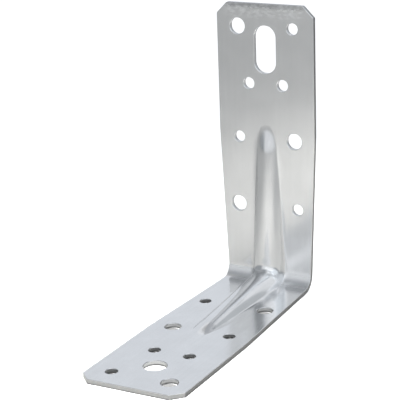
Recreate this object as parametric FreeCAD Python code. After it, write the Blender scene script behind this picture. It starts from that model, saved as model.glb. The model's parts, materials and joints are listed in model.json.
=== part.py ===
import FreeCAD, Part
import math
import os

# Angle bracket: one galvanised steel sheet, punched flat, with a stiffening rib pressed
# across the fold line, then folded once into an upright leg and a base leg.
# X runs across the sheet and Z up. The base leg lies on z = 0 and points towards -Y.
# The heel is the line where both legs' outer planes would meet, outside the bend.
# The origin is at the bottom centre of the bracket's box. All sizes are in millimetres.

# Sheet
SHEET_THICKNESS = 2.0
UPRIGHT_LENGTH = 125.0  # heel to top end
BASE_LENGTH = 125.0  # heel to front end
END_WIDTH = 45.0
WAIST_WIDTH = 40.0  # at the fold, where the sides have drawn in
TAPER_FROM_HEEL = 69.0  # where the sides start to draw in
END_CHAMFER = 4.8
INNER_BEND_RADIUS = 5.6
OUTLINE_ROUNDING = 0.4  # edge that the punch draws in, round the inner faces
HOLE_ROUNDING = 0.3  # the same at the holes' inner rims

# Holes, in the same rows on both legs
NAIL_HOLE_DIAMETER = 5.0
BOLT_HOLE_DIAMETER = 7.0
END_ROW_INSET = 10.0  # from the end of a leg
END_ROW_HALF_PITCH = 12.8
PAIR_ROW_INSET = 34.5  # from the end of a leg
PAIR_ROW_HALF_PITCH = 7.9
RIB_END_ROW_FROM_HEEL = 66.5
RIB_END_ROW_HALF_PITCH = 13.0
BEND_ROW_FROM_HEEL = 36.0
BEND_ROW_HALF_PITCH = 14.1
SLOT_WIDTH = 10.0
SLOT_LENGTH = 20.6
SLOT_INSET = 19.5  # slot centre from the top end
ANCHOR_HOLE_DIAMETER = 9.5
ANCHOR_HOLE_INSET = 21.3  # from the front end

# Pressed rib, raised on the inner faces and hollow on the outer ones
RIB_NOSE_FROM_HEEL = 71.5  # where the rib comes out of the sheet
RIB_NOSE_HALF_WIDTH = 3.0
RIB_SHOULDER_FROM_HEEL = 60.0  # where the steep run-out from the nose ends
RIB_SHOULDER_HALF_WIDTH = 5.2
RIB_SHOULDER_HEIGHT = 2.1
RIB_FULL_FROM_HEEL = 11.0  # where the rib has grown to its full size
RIB_FULL_HALF_WIDTH = 7.9
RIB_FULL_HEIGHT = 6.0
RIB_CORNER_RADIUS = 3.0  # of the crest, where it turns from one leg to the other
RIDGE_CREST_SHARE = 0.85  # crest radius over crest and root radius together, inside
HOLLOW_CREST_SHARE = 0.58  # the same, outside

# Making the rib's solids
FOOT_SINK = 0.04  # how far the rib's feet start under the face
NOSE_SINK = 0.3  # how much more they do at the nose
NOSE_HEIGHT = -0.05  # crest at the nose, just under the face
RUN_OUT_STEPS = 4
CORNER_STEPS = 6
ON_FACE = 1e-4  # a point nearer than this lies on a face

HEEL_Y = BASE_LENGTH / 2
OUTER_BEND_RADIUS = INNER_BEND_RADIUS + SHEET_THICKNESS

# The crest falls in a straight line from the corner to the shoulder, and turns at the
# corner in an arc that meets both legs' lines.
RIB_RUN = RIB_SHOULDER_FROM_HEEL - RIB_FULL_FROM_HEEL
CREST_SLOPE = (RIB_FULL_HEIGHT - RIB_SHOULDER_HEIGHT) / RIB_RUN
FOOT_SLOPE = (RIB_FULL_HALF_WIDTH - RIB_SHOULDER_HALF_WIDTH) / RIB_RUN
CREST_AT_HEEL = SHEET_THICKNESS + RIB_FULL_HEIGHT + CREST_SLOPE * RIB_FULL_FROM_HEEL
CREST_ARC_OFFSET = RIB_CORNER_RADIUS * math.hypot(1, CREST_SLOPE)
TURN_FROM_HEEL = (CREST_ARC_OFFSET + CREST_AT_HEEL) / (1 + CREST_SLOPE)

ACROSS = FreeCAD.Vector(1, 0, 0)
OUTWARD = FreeCAD.Vector(0, 1, 0)
HEEL = FreeCAD.Vector(0, HEEL_Y, 0)
TURN = FreeCAD.Vector(0, HEEL_Y - TURN_FROM_HEEL, TURN_FROM_HEEL)
FOLD_DIAGONAL = FreeCAD.Vector(0, -1, 1)


def onto_base(shape):
    """A shape made on the upright leg, turned about the fold's diagonal onto the base leg."""
    turned = shape.copy()
    turned.rotate(HEEL, FOLD_DIAGONAL, 180)
    return turned


def leg_plate(length):
    """Flat stretch of one leg: full width at its end, chamfered, and drawn in towards the fold."""
    end = END_WIDTH / 2
    waist = WAIST_WIDTH / 2
    right_side = [
        (waist, OUTER_BEND_RADIUS),
        (end, TAPER_FROM_HEEL),
        (end, length - END_CHAMFER),
        (end - END_CHAMFER, length),
    ]
    outline = right_side + [(-x, z) for x, z in reversed(right_side)]
    corners = [FreeCAD.Vector(x, HEEL_Y - SHEET_THICKNESS, z) for x, z in outline]
    face = Part.Face(Part.makePolygon(corners + corners[:1]))
    return face.extrude(OUTWARD * SHEET_THICKNESS)


def bend():
    """Quarter turn of the sheet between the two legs."""
    x = WAIST_WIDTH / 2
    outline = [
        (-x, HEEL_Y - SHEET_THICKNESS),
        (x, HEEL_Y - SHEET_THICKNESS),
        (x, HEEL_Y),
        (-x, HEEL_Y),
    ]
    corners = [FreeCAD.Vector(x, y, OUTER_BEND_RADIUS) for x, y in outline]
    section = Part.Face(Part.makePolygon(corners + corners[:1]))
    centre = FreeCAD.Vector(0, HEEL_Y - OUTER_BEND_RADIUS, OUTER_BEND_RADIUS)
    return section.revolve(centre, ACROSS, -90)


def punch(diameter, x, z):
    """Round punch through the upright leg."""
    start = FreeCAD.Vector(x, HEEL_Y - 2 * SHEET_THICKNESS, z)
    return Part.makeCylinder(diameter / 2, 3 * SHEET_THICKNESS, start, OUTWARD)


def slot_punch(z):
    """Punch for the upright slot: a straight stretch between two round ends."""
    reach = (SLOT_LENGTH - SLOT_WIDTH) / 2
    corner = FreeCAD.Vector(-SLOT_WIDTH / 2, HEEL_Y - 2 * SHEET_THICKNESS, z - reach)
    middle = Part.makeBox(SLOT_WIDTH, 3 * SHEET_THICKNESS, 2 * reach, corner)
    ends = [punch(SLOT_WIDTH, 0, z - reach), punch(SLOT_WIDTH, 0, z + reach)]
    return middle.multiFuse(ends).removeSplitter()


def leg_punches(length):
    """Punches for the staggered round holes that both legs have, on the upright leg."""
    end_row = length - END_ROW_INSET
    pair_row = length - PAIR_ROW_INSET
    return [
        punch(BOLT_HOLE_DIAMETER, -END_ROW_HALF_PITCH, end_row),
        punch(NAIL_HOLE_DIAMETER, END_ROW_HALF_PITCH, end_row),
        punch(NAIL_HOLE_DIAMETER, -PAIR_ROW_HALF_PITCH, pair_row),
        punch(NAIL_HOLE_DIAMETER, PAIR_ROW_HALF_PITCH, pair_row),
        punch(NAIL_HOLE_DIAMETER, -RIB_END_ROW_HALF_PITCH, RIB_END_ROW_FROM_HEEL),
        punch(BOLT_HOLE_DIAMETER, RIB_END_ROW_HALF_PITCH, RIB_END_ROW_FROM_HEEL),
        punch(BOLT_HOLE_DIAMETER, -BEND_ROW_HALF_PITCH, BEND_ROW_FROM_HEEL),
        punch(NAIL_HOLE_DIAMETER, BEND_ROW_HALF_PITCH, BEND_ROW_FROM_HEEL),
    ]


def inner_gap(point):
    """How far a point lies from the sheet's inner surface."""
    from_back = HEEL_Y - point.y
    from_floor = point.z
    if from_back >= OUTER_BEND_RADIUS:
        return abs(from_floor - SHEET_THICKNESS)
    if from_floor >= OUTER_BEND_RADIUS:
        return abs(from_back - SHEET_THICKNESS)
    reach = math.hypot(OUTER_BEND_RADIUS - from_back, OUTER_BEND_RADIUS - from_floor)
    return abs(reach - INNER_BEND_RADIUS)


def inner_faces(sheet):
    """Both legs' inner faces and the bend's."""
    faces = []
    for face in sheet.Faces:
        if max(inner_gap(vertex.Point) for vertex in face.Vertexes) < ON_FACE:
            faces.append(face)
    return faces


def outline_rims(sheet):
    """Edges of the inner faces' outline. A fold line bounds two of them and is left out."""
    edges = [edge for face in inner_faces(sheet) for edge in face.OuterWire.Edges]
    return [edge for edge in edges if sum(edge.isSame(other) for other in edges) == 1]


def hole_rims(sheet):
    """Edges of the holes in the inner faces."""
    rims = []
    for face in inner_faces(sheet):
        for wire in face.Wires:
            if not wire.isSame(face.OuterWire):
                rims += wire.Edges
    return rims


def folded_sheet():
    """The folded sheet with its holes and drawn-in inner edges, before the rib is pressed."""
    upright = leg_plate(UPRIGHT_LENGTH)
    base = onto_base(leg_plate(BASE_LENGTH))
    sheet = upright.multiFuse([bend(), base]).removeSplitter()
    punches = leg_punches(UPRIGHT_LENGTH) + [slot_punch(UPRIGHT_LENGTH - SLOT_INSET)]
    anchor_punch = punch(ANCHOR_HOLE_DIAMETER, 0, BASE_LENGTH - ANCHOR_HOLE_INSET)
    punches += [onto_base(tool) for tool in leg_punches(BASE_LENGTH) + [anchor_punch]]
    sheet = sheet.cut(punches)
    sheet = sheet.makeFillet(OUTLINE_ROUNDING, outline_rims(sheet))
    return sheet.makeChamfer(HOLE_ROUNDING, hole_rims(sheet))


def rib_section(foot, rise, half_width, height, crest_share, floor):
    """One cross section of the rib: root arc, crest arc and root arc over a flat-bottomed block.

    foot is the point midway between the rib's feet, rise the direction of its crest, and
    floor how far the block reaches down from the feet.
    """
    radii = (half_width**2 + height**2) / (2 * height)
    root_radius = (1 - crest_share) * radii
    slope = 2 * math.atan2(height, half_width)

    def at(x, v):
        return foot + ACROSS * x + rise * v

    def root_point(side, angle):
        x = half_width - root_radius * math.sin(angle)
        return at(side * x, root_radius * (1 - math.cos(angle)))

    left = [root_point(-1, angle) for angle in (0, slope / 2, slope)]
    right = [root_point(1, angle) for angle in (slope, slope / 2, 0)]
    crest = [left[-1], at(0, height), right[0]]
    block = [right[-1], at(half_width, -floor), at(-half_width, -floor), left[0]]
    curves = [Part.Arc(*points) for points in (left, crest, right)]
    curves += [Part.LineSegment(a, b) for a, b in zip(block, block[1:])]
    return Part.Wire([curve.toShape() for curve in curves])


def run_out_size(share, nose, shoulder, slope):
    """A size of the run-out, which leaves the nose steeply and meets the slope at the shoulder."""
    growth = shoulder - nose
    last_growth = slope * (RIB_NOSE_FROM_HEEL - RIB_SHOULDER_FROM_HEEL)
    bow = last_growth - growth
    return nose + (growth - bow) * share + bow * share**2


def run_out_section(share, outer_depth, crest_share, floor):
    """Section of the upright's rib, at a share of the way from the nose to the shoulder."""
    half_width = run_out_size(
        share, RIB_NOSE_HALF_WIDTH, RIB_SHOULDER_HALF_WIDTH, FOOT_SLOPE
    )
    height = run_out_size(share, NOSE_HEIGHT, RIB_SHOULDER_HEIGHT, CREST_SLOPE)
    sink = FOOT_SINK + NOSE_SINK * (1 - share)
    from_heel = RIB_NOSE_FROM_HEEL + share * (RIB_SHOULDER_FROM_HEEL - RIB_NOSE_FROM_HEEL)
    foot = FreeCAD.Vector(0, HEEL_Y - outer_depth + sink, from_heel)
    return rib_section(foot, -OUTWARD, half_width, height + sink, crest_share, floor)


def reach_to_sheet(angle, outer_depth):
    """From the crest's turning centre to a surface of the sheet, at an angle from straight back."""
    forward = max(math.cos(angle), math.sin(angle))
    aside = min(math.cos(angle), math.sin(angle))
    to_plane = (TURN_FROM_HEEL - outer_depth) / forward
    if TURN_FROM_HEEL - to_plane * aside >= OUTER_BEND_RADIUS:
        return to_plane
    offset = TURN_FROM_HEEL - OUTER_BEND_RADIUS
    beside_centre = offset * (forward - aside)
    to_nearest = offset * (forward + aside)
    return to_nearest + math.sqrt((OUTER_BEND_RADIUS - outer_depth) ** 2 - beside_centre**2)


def corner_section(share, outer_depth, crest_share, floor):
    """Section across the corner, at a share of the crest's turn from the upright to the base."""
    first_angle = math.atan(CREST_SLOPE)
    angle = first_angle + share * (math.pi / 2 - 2 * first_angle)
    to_heel = FreeCAD.Vector(0, math.cos(angle), -math.sin(angle))
    to_foot = reach_to_sheet(angle, outer_depth) + FOOT_SINK
    to_crest = RIB_CORNER_RADIUS + SHEET_THICKNESS - outer_depth
    half_width = RIB_FULL_HALF_WIDTH
    height = to_foot - to_crest
    return rib_section(TURN + to_heel * to_foot, -to_heel, half_width, height, crest_share, floor)


def rib(outer_depth, crest_share, floor):
    """The rib's solids along both legs and round the corner.

    Its feet lie on the surface at outer_depth from the outer faces.
    """
    skin = (outer_depth, crest_share, floor)
    run_out = [run_out_section(k / RUN_OUT_STEPS, *skin) for k in range(RUN_OUT_STEPS + 1)]
    corner = [corner_section(k / CORNER_STEPS, *skin) for k in range(CORNER_STEPS + 1)]
    leg = [
        Part.makeLoft(run_out, True, False),
        Part.makeLoft([run_out[-1], corner[0]], True, True),
    ]
    return leg + [Part.makeLoft(corner, True, False)] + [onto_base(solid) for solid in leg]


def angle_bracket():
    """The whole bracket: the folded sheet, with the rib raised inside and hollow outside."""
    ridge = rib(SHEET_THICKNESS, RIDGE_CREST_SHARE, SHEET_THICKNESS / 2)
    hollow = rib(0.0, HOLLOW_CREST_SHARE, SHEET_THICKNESS)
    return folded_sheet().multiFuse(ridge).cut(hollow).removeSplitter()


if __name__ == "__main__":
    os.makedirs("parts", exist_ok=True)
    bracket = angle_bracket()
    print(len(bracket.Solids), "solid, valid:", bracket.isValid(), round(bracket.Volume), "mm3")
    bracket.exportStep("parts/angle_bracket.step")
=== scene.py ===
"""Angle bracket of galvanised steel sheet: pressed with a rib, punched and folded once.

Run as a script, it makes the bracket and its stage. Installed as an add-on, it offers both in
a panel, with their sizes and colours."""

import json
import math
from collections import namedtuple
from functools import lru_cache

import bmesh
import bpy
from bpy.props import FloatProperty, FloatVectorProperty, IntProperty, PointerProperty
from mathutils import Matrix, Vector


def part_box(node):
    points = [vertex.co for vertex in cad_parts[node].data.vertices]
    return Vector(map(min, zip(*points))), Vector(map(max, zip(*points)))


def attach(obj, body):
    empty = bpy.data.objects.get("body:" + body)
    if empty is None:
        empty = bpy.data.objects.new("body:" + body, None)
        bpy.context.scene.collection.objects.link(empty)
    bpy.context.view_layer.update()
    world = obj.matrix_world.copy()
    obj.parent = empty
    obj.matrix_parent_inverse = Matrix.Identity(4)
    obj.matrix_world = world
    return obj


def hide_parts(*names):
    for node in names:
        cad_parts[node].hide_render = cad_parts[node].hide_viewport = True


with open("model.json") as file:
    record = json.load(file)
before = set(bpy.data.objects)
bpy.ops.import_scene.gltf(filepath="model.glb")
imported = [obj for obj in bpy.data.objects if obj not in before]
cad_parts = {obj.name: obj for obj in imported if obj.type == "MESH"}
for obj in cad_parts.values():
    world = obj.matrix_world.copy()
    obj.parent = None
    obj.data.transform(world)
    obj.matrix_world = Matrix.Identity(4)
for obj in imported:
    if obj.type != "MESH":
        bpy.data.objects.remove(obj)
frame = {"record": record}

bl_info = {
    "name": "Angle bracket",
    "version": (1, 0, 0),
    "blender": (4, 5, 0),
    "location": "View3D > Sidebar > Bracket",
    "description": "Dresses the packed angle bracket in pressed and folded galvanised sheet",
    "category": "Object",
}

MM = 0.001
NODE = "angle_bracket"
BOX_LOW, BOX_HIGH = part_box(NODE)
HEEL_Y = BOX_HIGH.y
UPRIGHT_LENGTH = BOX_HIGH.z - BOX_LOW.z
BASE_LENGTH = BOX_HIGH.y - BOX_LOW.y


# Sizes that a user would change

class BracketSizes(bpy.types.PropertyGroup):
    """The sheet, its fold and its pressed rib."""

    thickness: FloatProperty(
        name="Thickness", description="Thickness of the sheet", default=2 * MM, unit="LENGTH",
    )
    end_width: FloatProperty(
        name="End width", description="Width of the sheet at the ends of both legs",
        default=BOX_HIGH.x - BOX_LOW.x, unit="LENGTH",
    )
    waist_width: FloatProperty(
        name="Waist width", description="Width at the fold, where the sides have drawn in",
        default=40 * MM, unit="LENGTH",
    )
    taper_from_heel: FloatProperty(
        name="Taper start",
        description="Distance from the heel at which the sides start to draw in",
        default=69 * MM, unit="LENGTH",
    )
    chamfer: FloatProperty(
        name="Chamfer", description="Cut across each end corner",
        default=4.8 * MM, unit="LENGTH",
    )
    bend_radius: FloatProperty(
        name="Bend radius", description="Inside radius of the fold",
        default=5.6 * MM, unit="LENGTH",
    )
    rib_nose: FloatProperty(
        name="Rib nose",
        description="Distance from the heel at which the rib comes out of the sheet",
        default=71.5 * MM, unit="LENGTH",
    )
    rib_shoulder: FloatProperty(
        name="Rib shoulder", description="Distance from the heel at which the steep run-out ends",
        default=60 * MM, unit="LENGTH",
    )
    rib_full: FloatProperty(
        name="Rib corner",
        description="Distance from the heel at which the rib has its full size",
        default=11 * MM, unit="LENGTH",
    )
    nose_half_width: FloatProperty(
        name="Nose half width", description="Half of the rib's width at its nose",
        default=3 * MM, unit="LENGTH",
    )
    shoulder_half_width: FloatProperty(
        name="Shoulder half width", description="Half of the rib's width at its shoulder",
        default=5.2 * MM, unit="LENGTH",
    )
    full_half_width: FloatProperty(
        name="Corner half width", description="Half of the rib's width at the fold",
        default=7.9 * MM, unit="LENGTH",
    )
    shoulder_height: FloatProperty(
        name="Shoulder height", description="Height of the rib at its shoulder",
        default=2.1 * MM, unit="LENGTH",
    )
    full_height: FloatProperty(
        name="Corner height", description="Height of the rib at the fold",
        default=6 * MM, unit="LENGTH",
    )
    corner_radius: FloatProperty(
        name="Crest turn", description="Radius of the crest where it turns from leg to leg",
        default=3 * MM, unit="LENGTH",
    )
    crest_share: FloatProperty(
        name="Crest share", description="Crest radius over crest and foot radius together",
        default=0.92, subtype="FACTOR",
    )


class BracketEdges(bpy.types.PropertyGroup):
    """What the shears and punches do to the sheet's edges."""

    outline_rounding: FloatProperty(
        name="Outline rounding", description="Rolled edge round the inner faces",
        default=0.5 * MM, unit="LENGTH",
    )
    outline_burr: FloatProperty(
        name="Outline burr", description="Broken edge round the outer faces",
        default=0.12 * MM, unit="LENGTH",
    )
    corner_rounding: FloatProperty(
        name="Corner rounding",
        description="Rounding of the outline's corners, seen from the front",
        default=0.6 * MM, unit="LENGTH",
    )
    hole_rounding: FloatProperty(
        name="Hole rounding", description="Rolled edge of the holes in the inner faces",
        default=0.3 * MM, unit="LENGTH",
    )
    fracture_widening: FloatProperty(
        name="Fracture widening",
        description="How much wider a hole is where the sheet tore through",
        default=0.1 * MM, unit="LENGTH",
    )
    hole_segments: IntProperty(
        name="Hole segments", description="Sides of a round hole", default=64, min=16,
    )


class BracketFinish(bpy.types.PropertyGroup):
    """Colours of the galvanised sheet."""

    zinc: FloatVectorProperty(
        name="Zinc", description="Colour of the zinc skin",
        default=(0.795, 0.797, 0.8), size=3, subtype="COLOR", min=0, max=1,
    )
    # Cut walls: bare steel, darker than the zinc. The sides, which face left and right, are
    # painted darker than the ends: painted shade.
    shaded_cut: FloatVectorProperty(
        name="Shaded cut side", description="Colour of the cut sides",
        default=(0.26, 0.26, 0.26), size=3, subtype="COLOR", min=0, max=1,
    )
    # The ends and chamfers are painted lighter than the sides: painted light.
    lit_cut: FloatVectorProperty(
        name="Lit cut end", description="Colour of the cut ends and chamfers",
        default=(0.5, 0.5, 0.5), size=3, subtype="COLOR", min=0, max=1,
    )
    punched: FloatVectorProperty(
        name="Punched wall", description="Colour of the walls of the holes",
        default=(0.75, 0.755, 0.76), size=3, subtype="COLOR", min=0, max=1,
    )


class BracketStage(bpy.types.PropertyGroup):
    """Floor, light and camera."""

    floor: FloatVectorProperty(
        name="Floor", description="Colour of the floor",
        default=(0.58, 0.58, 0.57), size=3, subtype="COLOR", min=0, max=1,
    )
    overexposure: FloatProperty(
        name="Overexposure", description="Light that the camera adds to the floor", default=0.3,
    )
    # Painted shade: brightness of the grey cards that stand for the shade inside the base leg's
    # nail holes and bolt holes
    nail_hole_shade: FloatProperty(
        name="Nail hole shade", description="Brightness of the cards under the nail holes",
        default=0.09,
    )
    bolt_hole_shade: FloatProperty(
        name="Bolt hole shade", description="Brightness of the cards under the bolt holes",
        default=0.4,
    )
    room_light: FloatProperty(
        name="Room light", description="Strength of the light from all round", default=0.37,
    )
    room_colour: FloatVectorProperty(
        name="Room colour", description="Colour of the light from all round",
        default=(0.94, 1, 1.06), size=3, subtype="COLOR", min=0, max=2,
    )
    azimuth: FloatProperty(
        name="Azimuth", description="Direction that the camera looks in, from the wall's normal",
        default=math.radians(28.912), subtype="ANGLE",
    )
    elevation: FloatProperty(
        name="Elevation", description="How far the camera looks down",
        default=math.radians(17.589), subtype="ANGLE",
    )
    roll: FloatProperty(
        name="Roll", description="Turn of the camera about its own axis",
        default=math.radians(-2.051), subtype="ANGLE",
    )
    distance: FloatProperty(
        name="Distance", description="From the camera to the point that it aims at",
        default=0.583772, unit="LENGTH",
    )
    aim: FloatVectorProperty(
        name="Aim", description="Point in the middle of the picture",
        default=(0.489 * MM, -1.579 * MM, 57.394 * MM), size=3, subtype="XYZ",
    )
    lens: FloatProperty(
        name="Lens", description="Focal length in millimetres", default=132.4745,
    )


# Shape of the sheet

# One line of vertices across the sheet: foot is the inner face's point at x = 0 and rise
# its direction, both as (y, z). The rib stands on it, and the sheet reaches half_width.
Row = namedtuple("Row", "foot rise rib_half rib_height half_width")

CHAMFER_STEPS = 3  # rows down the chamfers
FLAT_STEPS = 26  # rows from the chamfers to the rib's nose
NOSE_STEPS = 24  # rows from the nose to the shoulder
RIB_STEPS = 24  # rows from the shoulder to where the crest starts to turn
TURN_STEPS = 8  # rows from there to the fold
BEND_STEPS = 24  # rows round the fold
BEND_FINENESS = 8  # points of the fold's profile for each of its rows
RIB_COLUMNS = 36
SIDE_COLUMNS = 9  # columns on each side of the rib

TURN_REACH = 5 / 3  # how far the crest's eased turn reaches, in corner radii
NOSE_LEAD = 1.2 * MM  # how far beyond its nose the rib starts to leave the sheet
LEAST_HEIGHT = 0.0001 * MM  # keeps the rib's arcs whole where it has no height


def steps(start, stop, count):
    """count evenly spaced values from start up to, and without, stop."""
    return [start + (stop - start) * k / count for k in range(count)]


def eased(share):
    """From 0 to 1 like the share, with a gentle start and a gentle end."""
    return share**2 * (3 - 2 * share)


def outer_radius(sizes):
    """Outside radius of the fold."""
    return sizes.bend_radius + sizes.thickness


def half_width(sizes, from_heel, length):
    """Half of the sheet's width at a distance from the heel."""
    end = sizes.end_width / 2
    waist = sizes.waist_width / 2
    drawn = (sizes.taper_from_heel - from_heel) / (sizes.taper_from_heel - outer_radius(sizes))
    width = end - (end - waist) * min(max(drawn, 0), 1)
    return min(width, end - sizes.chamfer + (length - from_heel))


def crest_slope(sizes):
    """How much the rib rises per length towards the fold."""
    return (sizes.full_height - sizes.shoulder_height) / (sizes.rib_shoulder - sizes.rib_full)


def nose_width(sizes, share, slope):
    """Half width of the rib between its nose, at share 0, and its shoulder, at share 1."""
    growth = sizes.shoulder_half_width - sizes.nose_half_width
    bow = slope * (sizes.rib_nose - sizes.rib_shoulder) - growth
    return sizes.nose_half_width + (growth - bow) * share + bow * share**2


def nose_height(sizes, from_heel, slope):
    """Height of the rib before its shoulder: it leaves the sheet gently, and meets the slope."""
    run = sizes.rib_nose + NOSE_LEAD - sizes.rib_shoulder
    share = max(1 - (from_heel - sizes.rib_shoulder) / run, 0)
    rise = sizes.shoulder_height * eased(share)
    return max(rise - slope * run * share**2 * (1 - share), LEAST_HEIGHT)


def rib_size(sizes, from_heel):
    """Half width and height of the rib at a distance from the heel."""
    run = sizes.rib_shoulder - sizes.rib_full
    width_slope = (sizes.full_half_width - sizes.shoulder_half_width) / run
    height_slope = crest_slope(sizes)
    if from_heel <= sizes.rib_shoulder:
        down = sizes.rib_shoulder - from_heel
        half = sizes.shoulder_half_width + width_slope * down
        return half, sizes.shoulder_height + height_slope * down
    share = (sizes.rib_nose - from_heel) / (sizes.rib_nose - sizes.rib_shoulder)
    half = nose_width(sizes, max(share, 0), width_slope)
    return half, nose_height(sizes, from_heel, height_slope)


def rib_rise(row, x, crest_share):
    """How far the rib lifts the sheet at x: a crest arc between two foot arcs."""
    half, height = row.rib_half, row.rib_height
    radii = (half**2 + height**2) / (2 * height)
    crest = crest_share * radii
    foot = radii - crest
    slope = 2 * math.atan2(height, half)
    beside = abs(x)
    if beside >= half:
        return 0
    if beside <= crest * math.sin(slope):
        return height - crest + math.sqrt(crest**2 - beside**2)
    return foot - math.sqrt(foot**2 - (half - beside) ** 2)


def turn_from_heel(sizes):
    """Distance from both outer planes to the centre that the crest turns about."""
    slope = crest_slope(sizes)
    crest_at_heel = sizes.thickness + sizes.full_height + slope * sizes.rib_full
    radius = TURN_REACH * sizes.corner_radius
    return (radius * math.hypot(1, slope) + crest_at_heel) / (1 + slope)


def crest_distance(sizes, ray):
    """The crest's distance along a ray from the centre that it turns about. Its curvature rises
    and falls gently, and its middle lies where a plain round of the corner radius has it."""
    lean = math.atan(crest_slope(sizes))
    share = (math.atan2(-ray.y, ray.x) - lean) / (math.pi / 2 - 2 * lean)
    share = min(max(share, 0), 1)
    deepest = (1 / math.cos(math.pi / 4 - lean) - 1) * (TURN_REACH - 1) * sizes.corner_radius
    return TURN_REACH * sizes.corner_radius + deepest * math.sin(math.pi * share) ** 2


def leg_rows(sizes, length):
    """Rows down the upright leg, from its end to where the corner's rows start."""
    lead = sizes.rib_nose + NOSE_LEAD
    turn = turn_from_heel(sizes)
    places = steps(length, length - sizes.chamfer, CHAMFER_STEPS)
    places += steps(length - sizes.chamfer, lead, FLAT_STEPS)
    places += steps(lead, sizes.rib_shoulder, NOSE_STEPS)
    places += steps(sizes.rib_shoulder, turn, RIB_STEPS)
    rows = []
    for from_heel in places:
        rib_half, rib_height = rib_size(sizes, from_heel)
        foot = Vector((HEEL_Y - sizes.thickness, from_heel))
        width = half_width(sizes, from_heel, length)
        rows.append(Row(foot, Vector((-1, 0)), rib_half, rib_height, width))
    return rows


@lru_cache(maxsize=4)
def fold_profile(radius, thickness):
    """Points of the inner face round the fold as (y, z), with their directions into the open
    corner. The curvature rises and falls gently, and the middle lies where a plain round of
    this radius has it."""
    count = BEND_STEPS * BEND_FINENESS
    spot = Vector((0, 0))
    spots, inward = [], []
    for k in range(count + 1):
        angle = math.pi / 2 * eased(k / count)
        spots.append(spot.copy())
        inward.append(Vector((-math.cos(angle), math.sin(angle))))
        angle = math.pi / 2 * eased((k + 0.5) / count)
        spot += Vector((-math.sin(angle), -math.cos(angle)))
    scale = (1 - math.sqrt(0.5)) * radius / -spots[count // 2].x
    start = Vector((HEEL_Y - thickness, thickness - spots[-1].y * scale))
    return [(start + spot * scale, direction) for spot, direction in zip(spots, inward)]


def corner_rows(sizes):
    """Rows round the fold, on rays from the centre that the crest turns about."""
    turn = turn_from_heel(sizes)
    centre = Vector((HEEL_Y - turn, turn))
    fold = [spot for spot, _ in fold_profile(sizes.bend_radius, sizes.thickness)[::BEND_FINENESS]]
    flat = [Vector((fold[0].x, height)) for height in steps(turn, fold[0].y, TURN_STEPS)]
    spots = flat + fold + [Vector((HEEL_Y - spot.y, HEEL_Y - spot.x)) for spot in reversed(flat)]
    rows = []
    for foot in spots:
        ray = foot - centre
        from_heel = max(HEEL_Y - foot.x, foot.y)
        width = half_width(sizes, from_heel, UPRIGHT_LENGTH)
        rib_half = rib_size(sizes, max(from_heel, sizes.rib_full))[0]
        height = ray.length - crest_distance(sizes, ray)
        rows.append(Row(foot, -ray.normalized(), rib_half, height, width))
    return rows


def onto_base(row):
    """An upright's row, mirrored about the fold's diagonal onto the base leg."""
    foot = Vector((HEEL_Y - row.foot.y, HEEL_Y - row.foot.x))
    return row._replace(foot=foot, rise=Vector((-row.rise.y, -row.rise.x)))


def sheet_skin(sizes):
    """The sheet's inner skin, from the upright's end round the fold to the base's end."""
    rows = leg_rows(sizes, UPRIGHT_LENGTH) + corner_rows(sizes)
    rows += [onto_base(row) for row in reversed(leg_rows(sizes, BASE_LENGTH))]
    columns = steps(-2, -1, SIDE_COLUMNS) + steps(-1, 1, RIB_COLUMNS)
    columns += steps(1, 2, SIDE_COLUMNS) + [2]
    bm = bmesh.new()
    bmesh.ops.create_grid(bm, x_segments=len(columns) - 1, y_segments=len(rows) - 1, size=1)
    for vert in bm.verts:
        share = columns[round((vert.co.x + 1) / 2 * (len(columns) - 1))]
        row = rows[round((1 - vert.co.y) / 2 * (len(rows) - 1))]
        x = min(abs(share), 1) * row.rib_half
        x += max(abs(share) - 1, 0) * (row.half_width - row.rib_half)
        place = row.foot + row.rise * rib_rise(row, x, sizes.crest_share)
        vert.co = (math.copysign(x, share), place.x, place.y)
    bm.normal_update()
    return bm


# Edges

SHARP = math.radians(75)  # the sheet's faces meet its cut walls more steeply than this
CORNER = math.radians(30)  # the chamfers meet the sides and ends more steeply than this
ON_SKIN = 0.01 * MM  # points closer to a face than this lie on it
CORNER_SEGMENTS = 3
ROLL_SEGMENTS = 4
BURR_SEGMENTS = 2


def place_in_sheet(sizes, point):
    """A point's distance from the outer face, before the rib was pressed, and the direction
    from there into the sheet."""
    fold = fold_profile(sizes.bend_radius, sizes.thickness)
    here = Vector((point.y, point.z))
    if here.y - fold[0][0].y > max(fold[-1][0].x - here.x, 0):
        foot, inward = Vector((fold[0][0].x, here.y)), fold[0][1]
    elif here.x < fold[-1][0].x:
        foot, inward = Vector((here.x, fold[-1][0].y)), fold[-1][1]
    else:
        foot, inward = min(fold, key=lambda pair: (pair[0] - here).length_squared)
    return sizes.thickness + (here - foot).dot(inward), Vector((0, inward.x, inward.y))


def skin_edges(bm, sizes, depth):
    """The outline's edges that lie at this depth in the sheet."""
    found = []
    for edge in bm.edges:
        if edge.calc_face_angle(0) > SHARP:
            ends = [place_in_sheet(sizes, vert.co)[0] for vert in edge.verts]
            if all(abs(end - depth) < ON_SKIN for end in ends):
                found.append(edge)
    return found


def round_edges(bm, chosen, radius, segments):
    """Rounds these edges."""
    bmesh.ops.bevel(
        bm,
        geom=chosen,
        offset=radius,
        offset_type="OFFSET",
        segments=segments,
        profile=0.5,
        affect="EDGES",
        material=-1,
        clamp_overlap=True,
    )


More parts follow.
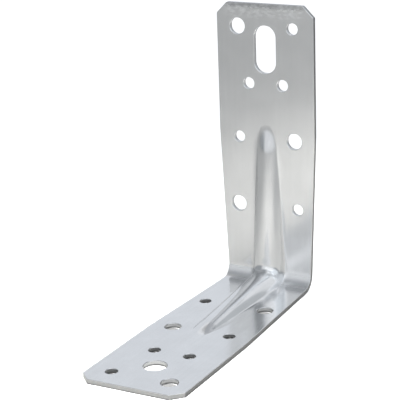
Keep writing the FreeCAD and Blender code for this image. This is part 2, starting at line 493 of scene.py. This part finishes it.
def blank(sizes, edges):
    """The pressed and folded sheet with its edges finished, before the holes."""
    bm = sheet_skin(sizes)
    bmesh.ops.solidify(bm, geom=bm.faces[:], thickness=sizes.thickness)
    bmesh.ops.recalc_face_normals(bm, faces=bm.faces)
    corners = [edge for edge in bm.edges if CORNER < edge.calc_face_angle(0) < SHARP]
    round_edges(bm, corners, edges.corner_rounding, CORNER_SEGMENTS)
    inner = skin_edges(bm, sizes, sizes.thickness)
    round_edges(bm, inner, edges.outline_rounding, ROLL_SEGMENTS)
    round_edges(bm, skin_edges(bm, sizes, 0), edges.outline_burr, BURR_SEGMENTS)
    return bm


# Holes

ROLL_TURNS = (10, 28, 46, 64, 90)  # degrees round a hole's rolled rim, from face to wall
CLEAN_SHARE = 0.45  # share of the thickness that the punch cuts cleanly before it tears
CLEAR = 0.5 * MM  # how far a punch stands clear of the sheet

# The sheet's materials, by their place in its list: the cut sides and the cut ends are copies of
# one steel, painted as shade and as light
ZINC, SHADED_SIDE_WALL, LIT_END_WALL, HOLE_WALL = range(4)

# A hole in the sheet: place is in the middle of the thickness, and axis points out of the
# inner face. A round hole has slot_length 0.
Hole = namedtuple("Hole", "place axis radius slot_length")


def holes():
    """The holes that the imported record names."""
    found = []
    for mount in frame["record"]["mounts"]:
        dims = mount["dims"]
        if "hole_r_mm" not in dims:
            continue
        radius = dims["hole_r_mm"] * MM
        slot_length = dims.get("slot_length_mm", 0) * MM
        for number in range(dims["count"]):
            aside = (number - (dims["count"] - 1) / 2) * dims["spacing_x_mm"] * MM
            place = Vector(mount["pos_m"]) + Vector((aside, 0, 0))
            found.append(Hole(place, Vector(mount["axis"]), radius, slot_length))
    return found


def punch_side(sizes, edges, radius):
    """Side of a punch as (radius, depth below the inner face): rolled rim, clean cut, torn cut."""
    roll = edges.hole_rounding
    side = [(0, -CLEAR), (radius + roll + 2 * CLEAR, -CLEAR)]
    for turn in ROLL_TURNS:
        across = roll * (1 - math.sin(math.radians(turn)))
        down = roll * (1 - math.cos(math.radians(turn)))
        side.append((radius + across, down))
    clean = CLEAN_SHARE * sizes.thickness
    slope = edges.fracture_widening / (sizes.thickness - clean)
    end = sizes.thickness + CLEAR
    side += [(radius, clean), (radius + slope * (end - clean), end), (0, end)]
    return side


def punch(side, segments, stretch, place):
    """One punch turned from its side, drawn out to a slot by stretch, and put in place."""
    bm = bmesh.new()
    start = math.pi / segments
    verts = [
        bm.verts.new((radius * math.cos(start), depth, radius * math.sin(start)))
        for radius, depth in side
    ]
    line = [bm.edges.new(pair) for pair in zip(verts, verts[1:])]
    bmesh.ops.spin(
        bm,
        geom=verts + line,
        cent=(0, 0, 0),
        axis=(0, 1, 0),
        angle=2 * math.pi,
        steps=segments,
        use_merge=True,
    )
    bmesh.ops.remove_doubles(bm, verts=bm.verts, dist=ON_SKIN / 10)
    rim_end = side[1 + len(ROLL_TURNS)][1]
    for face in bm.faces:
        below_rim = all(vert.co.y > rim_end - ON_SKIN for vert in face.verts)
        face.material_index = HOLE_WALL if below_rim else ZINC
    for vert in bm.verts:
        if abs(vert.co.z) > ON_SKIN / 10:
            vert.co.z += math.copysign(stretch, vert.co.z)
    bmesh.ops.transform(bm, matrix=place, verts=bm.verts)
    bmesh.ops.recalc_face_normals(bm, faces=bm.faces)
    return bm


def punches(sizes, edges):
    """All punches, in their places."""
    whole = bmesh.new()
    for hole in holes():
        side = punch_side(sizes, edges, hole.radius)
        stretch = max(hole.slot_length / 2 - hole.radius, 0)
        turn = Vector((0, -1, 0)).rotation_difference(hole.axis).to_matrix().to_4x4()
        face = hole.place + hole.axis * sizes.thickness / 2
        one = punch(side, edges.hole_segments, stretch, Matrix.Translation(face) @ turn)
        mesh = bpy.data.meshes.new("punch")
        one.to_mesh(mesh)
        one.free()
        whole.from_mesh(mesh)
        bpy.data.meshes.remove(mesh)
    return whole


def new_piece(bm, name):
    """A new object with this mesh, in the scene."""
    mesh = bpy.data.meshes.new(name)
    bm.to_mesh(mesh)
    bm.free()
    piece = bpy.data.objects.new(name, mesh)
    bpy.context.scene.collection.objects.link(piece)
    return piece


def apply_modifiers(piece):
    """Makes the piece's modifiers part of its mesh."""
    graph = bpy.context.evaluated_depsgraph_get()
    mesh = bpy.data.meshes.new_from_object(piece.evaluated_get(graph), depsgraph=graph)
    piece.modifiers.clear()
    piece.data = mesh


def cut_holes(piece, tool):
    """Cuts the punches out of the sheet."""
    cut = piece.modifiers.new("holes", "BOOLEAN")
    cut.object = tool
    cut.operation = "DIFFERENCE"
    cut.solver = "EXACT"
    cut.material_mode = "INDEX"
    apply_modifiers(piece)
    bpy.data.objects.remove(tool)
    if not piece.data.polygons:
        raise RuntimeError("the punches left nothing of the sheet")


# Shading

DEPTH, FOLDED = "depth", "folded"  # the attributes that the materials read
WALL_TURN = math.radians(60)  # a face turned out of the sheet by more than this is a cut wall
FLAT_TURN = math.radians(8)  # and one turned by less than this is flat
SIDEWAYS = 0.9  # least x of a normal on the slit sides, which face left and right
SHADED_SHARP = math.radians(32)  # faces that meet more steeply keep a hard line

# How much a face counts for the shading at its corners, in the form that the weighted normals
# read: a flat face settles it alone, and the rolled rim beside it follows
FACE_STRENGTH = "__mod_weightednormals_faceweight"
STRONG, WEAK = 16384, -16384


def mark_points(bm, sizes):
    """Gives every point its depth in the sheet, from 0 on the outer face to 1 on the inner one,
    and its share of the fold, from 0 on the legs to 1 at the fold's middle."""
    depth_layer = bm.verts.layers.float.new(DEPTH)
    fold_layer = bm.verts.layers.float.new(FOLDED)
    for vert in bm.verts:
        depth, inward = place_in_sheet(sizes, vert.co)
        vert[depth_layer] = min(max(depth / sizes.thickness, 0), 1)
        vert[fold_layer] = 2 * abs(inward.y * inward.z)


def mark_faces(bm, sizes, edges):
    """Gives the cut sides and ends their painted shaded and lit materials, and every face its
    strength.
    """
    strength = bm.faces.layers.int.new(FACE_STRENGTH)
    for face in bm.faces:
        middle = face.calc_center_median()
        depth, inward = place_in_sheet(sizes, middle)
        turned = math.acos(min(abs(face.normal.dot(inward)), 1))
        wall = turned > WALL_TURN and depth < sizes.thickness - edges.hole_rounding
        from_heel = max(HEEL_Y - middle.y, middle.z)
        on_rib = abs(middle.x) <= sizes.full_half_width and from_heel <= sizes.rib_nose + NOSE_LEAD
        # Walls facing left and right get the copy painted as shade, the ends and chamfers the copy
        # painted as light
        if wall and not on_rib and face.material_index != HOLE_WALL:
            face.material_index = SHADED_SIDE_WALL if abs(face.normal.x) > SIDEWAYS else LIT_END_WALL
        face[strength] = STRONG if on_rib or wall or turned < FLAT_TURN else WEAK


def even_shading(piece):
    """Shades flat faces as flat, right up to the rims that are rolled beside them."""
    weighted = piece.modifiers.new("even shading", "WEIGHTED_NORMAL")
    weighted.mode = "CORNER_ANGLE"  # areas in square metres are too small to weigh
    weighted.keep_sharp = True
    weighted.use_face_influence = True
    apply_modifiers(piece)
    piece.data.attributes.remove(piece.data.attributes[FACE_STRENGTH])


def finish_mesh(piece, sizes, edges):
    """Marks the mesh for its materials and settles its shading."""
    bm = bmesh.new()
    bm.from_mesh(piece.data)
    bmesh.ops.dissolve_degenerate(bm, dist=ON_SKIN / 100, edges=bm.edges)
    mark_points(bm, sizes)
    mark_faces(bm, sizes, edges)
    for face in bm.faces:
        face.smooth = True
    for edge in bm.edges:
        edge.smooth = edge.calc_face_angle(0) < SHADED_SHARP
    bm.to_mesh(piece.data)
    bm.free()
    even_shading(piece)


# Materials

# A pattern in the zinc: how fine it is along x, y and z, per metre, and its layers of detail
Pattern = namedtuple("Pattern", "scale detail")
CLOUDS = Pattern((90, 90, 90), 4)
STREAKS = Pattern((700, 30, 30), 3)
GRAIN = Pattern((1900, 1900, 1900), 2)
WAVES = Pattern((75, 45, 45), 1)
BAND_EDGE = Pattern((160, 160, 160), 2)
SCUFFS = Pattern((450, 450, 900), 3)

WAVE_HEIGHT = 0.01 * MM
GRAIN_HEIGHT = 0.004 * MM
SHADE_DULLS = 0.35  # roughness that comes with the zinc's uneven shade
MARKS_DULL = 0.4  # roughness that comes with the marks at the upright's end

# Where marks and patterns set in: nothing of them at the first value, all at the second
BAND_BELOW_END = (2.6 * MM, 0.9 * MM)
SCUFFS_BELOW_END = (7.5 * MM, 4 * MM)
MARKS_ASIDE = (0.9 * BOX_HIGH.x, 0.7 * BOX_HIGH.x)
MARKS_DEPTH = (0.4, 0.8)
SCUFFS_NOISE = (-0.1, 0.16)
BAND_WANDER = 1.5 * MM  # how far the band's lower edge strays


def feed(tree, socket, value):
    """Sets a socket to a value, or links it to the output given."""
    if isinstance(value, bpy.types.NodeSocket):
        tree.links.new(value, socket)
    else:
        socket.default_value = value


def add_node(tree, kind, inputs=None, **settings):
    """A new node with its settings, and with its inputs fed."""
    node = tree.nodes.new(kind)
    for name, value in settings.items():
        setattr(node, name, value)
    for name, value in (inputs or {}).items():
        feed(tree, node.inputs[name], value)
    return node


def calculate(tree, operation, *values):
    """Output of a math node."""
    node = add_node(tree, "ShaderNodeMath", operation=operation)
    for socket, value in zip(node.inputs, values):
        feed(tree, socket, value)
    return node.outputs[0]


def noise(tree, place, pattern):
    """Output of a pattern, round about nought."""
    mapped = add_node(tree, "ShaderNodeMapping", {"Vector": place, "Scale": pattern.scale})
    inputs = {"Vector": mapped.outputs["Vector"], "Scale": 1, "Detail": pattern.detail}
    texture = add_node(tree, "ShaderNodeTexNoise", inputs)
    return calculate(tree, "SUBTRACT", texture.outputs["Fac"], 0.5)


def new_group(name, inputs, outputs):
    """A new node group with these named sockets; returns it with its two end nodes."""
    tree = bpy.data.node_groups.new(name, "ShaderNodeTree")
    for socket_name, kind, default in inputs:
        socket = tree.interface.new_socket(socket_name, in_out="INPUT", socket_type=kind)
        socket.default_value = default
    for socket_name, kind in outputs:
        tree.interface.new_socket(socket_name, in_out="OUTPUT", socket_type=kind)
    return tree, tree.nodes.new("NodeGroupInput"), tree.nodes.new("NodeGroupOutput")


def smooth_step(tree, value, start, stop):
    """Output that goes gently from 0 at start to 1 at stop."""
    node = add_node(
        tree, "ShaderNodeMapRange", interpolation_type="SMOOTHSTEP",
        inputs={"Value": value, "From Min": start, "From Max": stop},
    )
    return node.outputs["Result"]


def zinc_wear(tree, given, place):
    """Outputs with the zinc's uneven shade, round about nought, and its height: clouds,
    streaks from rolling along both legs, fine grain, and low waves in the sheet."""
    clouds = calculate(tree, "MULTIPLY", noise(tree, place, CLOUDS), given["Clouds"])
    streaks = calculate(tree, "MULTIPLY", noise(tree, place, STREAKS), given["Streaks"])
    grain = calculate(tree, "MULTIPLY", noise(tree, place, GRAIN), given["Grain"])
    waves = calculate(tree, "MULTIPLY", noise(tree, place, WAVES), given["Waviness"])
    fine = calculate(tree, "ADD", streaks, grain)
    shade = calculate(tree, "ADD", clouds, fine)
    height = calculate(tree, "MULTIPLY", waves, WAVE_HEIGHT)
    return shade, calculate(tree, "MULTIPLY_ADD", fine, GRAIN_HEIGHT, height)


def torn_shade(tree, given, depth):
    """Output with how dark a cut wall is: it darkens to the outer face, where the sheet tore."""
    torn = smooth_step(tree, depth, given["Torn share"], 0)
    return calculate(tree, "MULTIPLY", torn, given["Torn darkness"])


def end_marks(tree, given, place, depth):
    """Outputs with the darkness of the dull band below the upright's end, and with the
    brightness of the pale scuffs under it, both on the inner face."""
    axes = add_node(tree, "ShaderNodeSeparateXYZ", {"Vector": place}).outputs
    below = calculate(tree, "SUBTRACT", BOX_HIGH.z, axes["Z"])
    below = calculate(tree, "MULTIPLY_ADD", noise(tree, place, BAND_EDGE), BAND_WANDER, below)
    aside = calculate(tree, "ABSOLUTE", axes["X"])
    inside = smooth_step(tree, aside, *MARKS_ASIDE)
    inside = calculate(tree, "MULTIPLY", inside, smooth_step(tree, depth, *MARKS_DEPTH))
    band = calculate(tree, "MULTIPLY", smooth_step(tree, below, *BAND_BELOW_END), inside)
    near = calculate(tree, "MULTIPLY", smooth_step(tree, below, *SCUFFS_BELOW_END), inside)
    specks = smooth_step(tree, noise(tree, place, SCUFFS), *SCUFFS_NOISE)
    scuffs = calculate(tree, "MULTIPLY", near, specks)
    return (
        calculate(tree, "MULTIPLY", band, given["End band"]),
        calculate(tree, "MULTIPLY", scuffs, given["End scuffs"]),
    )


def zinc_group():
    """Node group: zinc with its wear, with torn walls, and with the marks at the upright's end."""
    inputs = (
        ("Colour", "NodeSocketColor", (0.8, 0.8, 0.8, 1)),
        ("Roughness", "NodeSocketFloat", 0.19),
        ("Clouds", "NodeSocketFloat", 0.1),
        ("Streaks", "NodeSocketFloat", 0.1),
        ("Grain", "NodeSocketFloat", 0.1),
        ("Waviness", "NodeSocketFloat", 0.0),
        ("Fold dulling", "NodeSocketFloat", 0.0),
        ("Torn share", "NodeSocketFloat", 0.3),
        ("Torn darkness", "NodeSocketFloat", 0.0),
        ("End band", "NodeSocketFloat", 0.0),
        ("End scuffs", "NodeSocketFloat", 0.0),
    )
    outputs = (
        ("Colour", "NodeSocketColor"),
        ("Roughness", "NodeSocketFloat"),
        ("Height", "NodeSocketFloat"),
    )
    tree, start, result = new_group("worn zinc", inputs, outputs)
    given = start.outputs
    place = add_node(tree, "ShaderNodeTexCoord").outputs["Object"]
    depth = add_node(tree, "ShaderNodeAttribute", attribute_name=DEPTH).outputs["Fac"]
    shade, height = zinc_wear(tree, given, place)
    band, scuffs = end_marks(tree, given, place, depth)
    bright = calculate(tree, "ADD", shade, calculate(tree, "SUBTRACT", scuffs, band))
    kept = calculate(tree, "SUBTRACT", 1, torn_shade(tree, given, depth))
    bright = calculate(tree, "MULTIPLY", calculate(tree, "ADD", bright, 1), kept)
    colour = add_node(
        tree, "ShaderNodeVectorMath", operation="SCALE",
        inputs={"Vector": given["Colour"], "Scale": bright},
    )
    folded = add_node(tree, "ShaderNodeAttribute", attribute_name=FOLDED).outputs["Fac"]
    dull = calculate(tree, "MULTIPLY_ADD", folded, given["Fold dulling"], given["Roughness"])
    dull = calculate(tree, "MULTIPLY_ADD", shade, SHADE_DULLS, dull)
    marks = calculate(tree, "ADD", band, scuffs)
    dull = calculate(tree, "MULTIPLY_ADD", marks, MARKS_DULL, dull)
    feed(tree, result.inputs["Colour"], colour.outputs["Vector"])
    feed(tree, result.inputs["Roughness"], dull)
    feed(tree, result.inputs["Height"], height)
    return tree


def metal(name, group, values):
    """A metal whose surface comes from the group, with these values in the group's sockets."""
    material = bpy.data.materials.new(name)
    material.use_nodes = True
    tree = material.node_tree
    surface = add_node(tree, "ShaderNodeGroup", values, node_tree=group)
    bump = add_node(tree, "ShaderNodeBump", {"Distance": 1.0, "Height": surface.outputs["Height"]})
    shader = tree.nodes["Principled BSDF"]
    shader.inputs["Metallic"].default_value = 1
    feed(tree, shader.inputs["Base Color"], surface.outputs["Colour"])
    feed(tree, shader.inputs["Roughness"], surface.outputs["Roughness"])
    feed(tree, shader.inputs["Normal"], bump.outputs["Normal"])
    return material


def bracket_materials(finish):
    """Zinc skin, cut side in painted shade, cut end in painted light and hole wall, in the sheet's
    list order.
    """
    group = zinc_group()
    skin = {
        "Colour": (*finish.zinc, 1), "Roughness": 0.17, "Clouds": 0.16, "Streaks": 0.07,
        "Grain": 0.06, "Waviness": 1.6, "Fold dulling": 0.2, "End band": 0.38,
        "End scuffs": 0.17,
    }
    # Cut sides: bare steel, painted darker than the ends as shade
    shaded_cut = {
        "Colour": (*finish.shaded_cut, 1), "Roughness": 0.4, "Streaks": 0.2, "Grain": 0.2,
        "Torn share": 0.35, "Torn darkness": 0.8,
    }
    # Cut ends and chamfers: painted lighter than the sides as light
    lit_cut = {
        "Colour": (*finish.lit_cut, 1), "Roughness": 0.3, "Streaks": 0.2, "Grain": 0.2,
        "Torn share": 0.3, "Torn darkness": 0.6,
    }
    punched = {
        "Colour": (*finish.punched, 1), "Roughness": 0.3, "Streaks": 0.2, "Grain": 0.2,
        "Torn share": 0.5, "Torn darkness": 0.8,
    }
    return (
        metal("galvanised zinc skin", group, skin),
        metal("slit side", group, shaded_cut),
        metal("cropped end", group, lit_cut),
        metal("punched wall", group, punched),
    )


# Stage

FLOOR_SIZE = 8.0
FLOOR_GAP = 0.05 * MM  # keeps the floor just clear of the base
FLOOR_ROUGHNESS = 0.9

# Cards of painted shade on the floor, under the base leg's nail holes and bolt holes, which show
# through the holes as the shade inside them
NAIL_RADIUS, BOLT_RADIUS = 3 * MM, 4 * MM  # the largest that such a hole can have
CARD_SEGMENTS = 24
CARD_LIFT = 0.02 * MM
CARD_SHARE = 1.1  # radius of a card over the radius of its hole
CARD_ASIDE = (-0.15, -0.2)  # how far it lies to the left and front, in radii of its hole

# A panel of even light, aimed at the bracket. azimuth is its direction from the wall's
# normal towards +X, and light what it adds to the picture where a mirror shows it.
Softbox = namedtuple("Softbox", "name azimuth elevation distance width height light colour")
SOFTBOXES = (
    Softbox("front, inner", 20, 27, 1.3, 1.45, 0.85, 0.28, (0.99, 1, 1.02)),
    Softbox("front, middle", 10, 21, 1.27, 2.3, 1.2, 0.3, (0.99, 1, 1.02)),
    Softbox("front, outer", 6, 20, 1.25, 2.6, 1.25, 0.15, (0.99, 1, 1.02)),
    Softbox("right", 78, 28, 1.3, 1.2, 1.0, 0.6, (0.93, 1, 1.08)),
    Softbox("front overhead", 65, 62, 1.3, 1.4, 0.8, 0.44, (0.95, 1, 1.06)),
    Softbox("front, high", -8, 52, 1.3, 1.95, 0.43, 0.2, (0.98, 0.97, 1.05)),
    Softbox("left, high", -130, 52, 1.3, 0.95, 0.55, 0.14, (1.1, 1, 0.9)),
    Softbox("back overhead", 150, 77, 1.3, 0.7, 0.55, 0.6, (0.99, 1, 1.01)),
    Softbox("back left", -150, 24, 1.3, 1.5, 1.1, 0.44, (0.96, 0.99, 1.06)),
    Softbox("back right", 155, 20, 1.3, 0.9, 0.9, 0.2, (0.97, 1, 1.03)),
)

# Spots that light the floor in front of the bracket and behind it, and show in no mirror
FloorSpot = namedtuple("FloorSpot", "name place angle energy")
FLOOR_SPOTS = (
    FloorSpot("near floor spot", (0.0, -0.09, 0.5), 43, 5.6),
    FloorSpot("front floor spot", (0.05, -0.2, 0.5), 50, 6.2),
    FloorSpot("left floor spot", (-0.035, 0.01, 0.4), 22, 1.6),
    FloorSpot("back floor spot", (0.11, 0.2, 0.35), 62, 5.0),
)
SPOT_RADIUS = 0.06
SPOT_COLOUR = (1, 0.985, 0.95)

# The broad lamp over the floor, which shows in no mirror either
FILL_SIZE = 3.0
FILL_HEIGHT = 2.0
FILL_LIGHT = 0.4
FILL_COLOUR = (1.08, 1, 0.9)

NEAREST_SEEN = 0.01  # what lies closer to the camera is cut off


def lay_floor(stage):
    """A plain pale floor, which the camera sees overexposed."""
    bm = bmesh.new()
    bmesh.ops.create_grid(bm, x_segments=1, y_segments=1, size=FLOOR_SIZE / 2)
    bmesh.ops.translate(bm, vec=(0, 0, -FLOOR_GAP), verts=bm.verts)
    floor = new_piece(bm, "floor")
    material = bpy.data.materials.new("pale floor")
    material.use_nodes = True
    tree = material.node_tree
    shader = tree.nodes["Principled BSDF"]
    shader.inputs["Roughness"].default_value = FLOOR_ROUGHNESS
    shader.inputs["Emission Strength"].default_value = stage.overexposure
    seen = add_node(tree, "ShaderNodeLightPath").outputs["Is Camera Ray"]
    colour = add_node(tree, "ShaderNodeMix", data_type="RGBA", inputs={"Factor": seen})
    feed(tree, colour.inputs["A"], (*stage.floor, 1))
    feed(tree, colour.inputs["B"], (1, 1, 1, 1))
    feed(tree, shader.inputs["Base Color"], colour.outputs["Result"])
    feed(tree, shader.inputs["Emission Color"], seen)
    floor.data.materials.append(material)


def lay_shade_cards(name, smallest, largest, shade):
    """Cards of painted shade under the base leg's holes with a radius between these two."""
    bm = bmesh.new()
    for hole in holes():
        in_base = hole.axis.z > abs(hole.axis.y)
        if in_base and smallest < hole.radius < largest:
            aside = Vector((*CARD_ASIDE, 0)) * hole.radius
            place = Vector((hole.place.x, hole.place.y, CARD_LIFT - FLOOR_GAP)) + aside
            bmesh.ops.create_circle(
                bm, cap_ends=True, segments=CARD_SEGMENTS, radius=CARD_SHARE * hole.radius,
                matrix=Matrix.Translation(place),
            )
    cards = new_piece(bm, name)
    material = bpy.data.materials.new(name)
    material.use_nodes = True
    shader = material.node_tree.nodes["Principled BSDF"]
    shader.inputs["Base Color"].default_value = (shade, shade, shade, 1)
    cards.data.materials.append(material)


def hang_softbox(scene, softbox, aim):
    """Puts up one softbox, facing the point aimed at."""
    light = bpy.data.lights.new(softbox.name, "AREA")
    light.shape = "RECTANGLE"
    light.size = softbox.width
    light.size_y = softbox.height
    light.energy = softbox.light * math.pi * softbox.width * softbox.height
    light.color = softbox.colour
    turn = Matrix.Rotation(math.radians(softbox.azimuth), 4, "Z")
    turn @= Matrix.Rotation(math.pi / 2 - math.radians(softbox.elevation), 4, "X")
    back = turn @ Vector((0, 0, softbox.distance))
    lamp = bpy.data.objects.new(softbox.name, light)
    lamp.matrix_world = Matrix.Translation(aim + back) @ turn
    lamp.visible_camera = False
    scene.collection.objects.link(lamp)


def hang_floor_lamps(scene):
    """Puts up the lamps that light the floor."""
    fill = bpy.data.lights.new("floor fill", "AREA")
    fill.size = FILL_SIZE
    fill.energy = FILL_LIGHT * math.pi * FILL_SIZE**2
    fill.color = FILL_COLOUR
    hung = [(fill, (0, 0, FILL_HEIGHT))]
    for given in FLOOR_SPOTS:
        spot = bpy.data.lights.new(given.name, "SPOT")
        spot.energy = given.energy
        spot.spot_size = math.radians(given.angle)
        spot.spot_blend = 1
        spot.color = SPOT_COLOUR
        spot.shadow_soft_size = SPOT_RADIUS
        hung.append((spot, given.place))
    for light, place in hung:
        lamp = bpy.data.objects.new(light.name, light)
        lamp.location = place
        lamp.visible_glossy = False
        lamp.visible_camera = False
        scene.collection.objects.link(lamp)


def light_studio(scene, stage):
    """Soft light from all round, from the softboxes and from the floor lamps."""
    world = bpy.data.worlds.new("studio")
    scene.world = world
    world.use_nodes = True
    background = world.node_tree.nodes["Background"]
    background.inputs["Color"].default_value = (*stage.room_colour, 1)
    background.inputs["Strength"].default_value = stage.room_light
    for softbox in SOFTBOXES:
        hang_softbox(scene, softbox, Vector(stage.aim))
    hang_floor_lamps(scene)
    scene.view_settings.view_transform = "Standard"


def set_camera(scene, stage):
    """The camera at the photograph's viewing angle."""
    camera = bpy.data.objects.new("camera", bpy.data.cameras.new("camera"))
    scene.collection.objects.link(camera)
    turn = Matrix.Rotation(stage.azimuth, 4, "Z")
    turn @= Matrix.Rotation(math.pi / 2 - stage.elevation, 4, "X")
    turn @= Matrix.Rotation(stage.roll, 4, "Z")
    back = turn @ Vector((0, 0, stage.distance))
    camera.matrix_world = Matrix.Translation(Vector(stage.aim) + back) @ turn
    camera.data.lens = stage.lens
    camera.data.clip_start = NEAREST_SEEN
    scene.camera = camera


# Operators

class MakeBracket(bpy.types.Operator):
    """Press, fold and punch the galvanised sheet"""

    bl_idname = "bracket.make_sheet"
    bl_label = "Folded sheet"

    def execute(self, context):
        scene = context.scene
        sizes, edges, finish = scene.bracket_sizes, scene.bracket_edges, scene.bracket_finish
        piece = new_piece(blank(sizes, edges), "ribbed_angle_sheet")
        cut_holes(piece, new_piece(punches(sizes, edges), "punches"))
        finish_mesh(piece, sizes, edges)
        for material in bracket_materials(finish):
            piece.data.materials.append(material)
        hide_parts(NODE)
        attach(piece, "root")
        return {"FINISHED"}


class MakeStage(bpy.types.Operator):
    """Lay the pale floor and set the light and the camera"""

    bl_idname = "bracket.make_stage"
    bl_label = "Stage"

    def execute(self, context):
        stage = context.scene.bracket_stage
        lay_floor(stage)
        # Cards that paint the shade inside the base leg's small holes
        lay_shade_cards("nail hole shade cards", 0, NAIL_RADIUS, stage.nail_hole_shade)
        lay_shade_cards("bolt hole shade cards", NAIL_RADIUS, BOLT_RADIUS, stage.bolt_hole_shade)
        light_studio(context.scene, stage)
        set_camera(context.scene, stage)
        return {"FINISHED"}


# Panel

class BracketPanel(bpy.types.Panel):
    """Makes the bracket and its stage, and shows their sizes and colours"""

    bl_idname = "BRACKET_PT_panel"
    bl_label = "Angle bracket"
    bl_space_type = "VIEW_3D"
    bl_region_type = "UI"
    bl_category = "Bracket"

    def draw(self, context):
        for operator in OPERATORS:
            self.layout.operator(operator.bl_idname)
        for name in GROUPS:
            group = getattr(context.scene, name)
            column = self.layout.column()
            for key in group.bl_rna.properties.keys():
                if key not in ("name", "rna_type"):
                    column.prop(group, key)


GROUPS = {
    "bracket_sizes": BracketSizes,
    "bracket_edges": BracketEdges,
    "bracket_finish": BracketFinish,
    "bracket_stage": BracketStage,
}
OPERATORS = (MakeBracket, MakeStage)


def register():
    """Adds the properties, operators and panel."""
    for cls in (*GROUPS.values(), *OPERATORS, BracketPanel):
        bpy.utils.register_class(cls)
    for name, group in GROUPS.items():
        setattr(bpy.types.Scene, name, PointerProperty(type=group))


def unregister():
    """Takes them away again."""
    for name in GROUPS:
        delattr(bpy.types.Scene, name)
    for cls in (BracketPanel, *reversed(OPERATORS), *reversed(GROUPS.values())):
        bpy.utils.unregister_class(cls)


def main():
    """Makes the pieces and the stage."""
    register()
    bpy.context.view_layer.update()
    bpy.ops.bracket.make_sheet()
    bpy.ops.bracket.make_stage()
    bpy.context.view_layer.update()


if __name__ == "__main__":
    main()
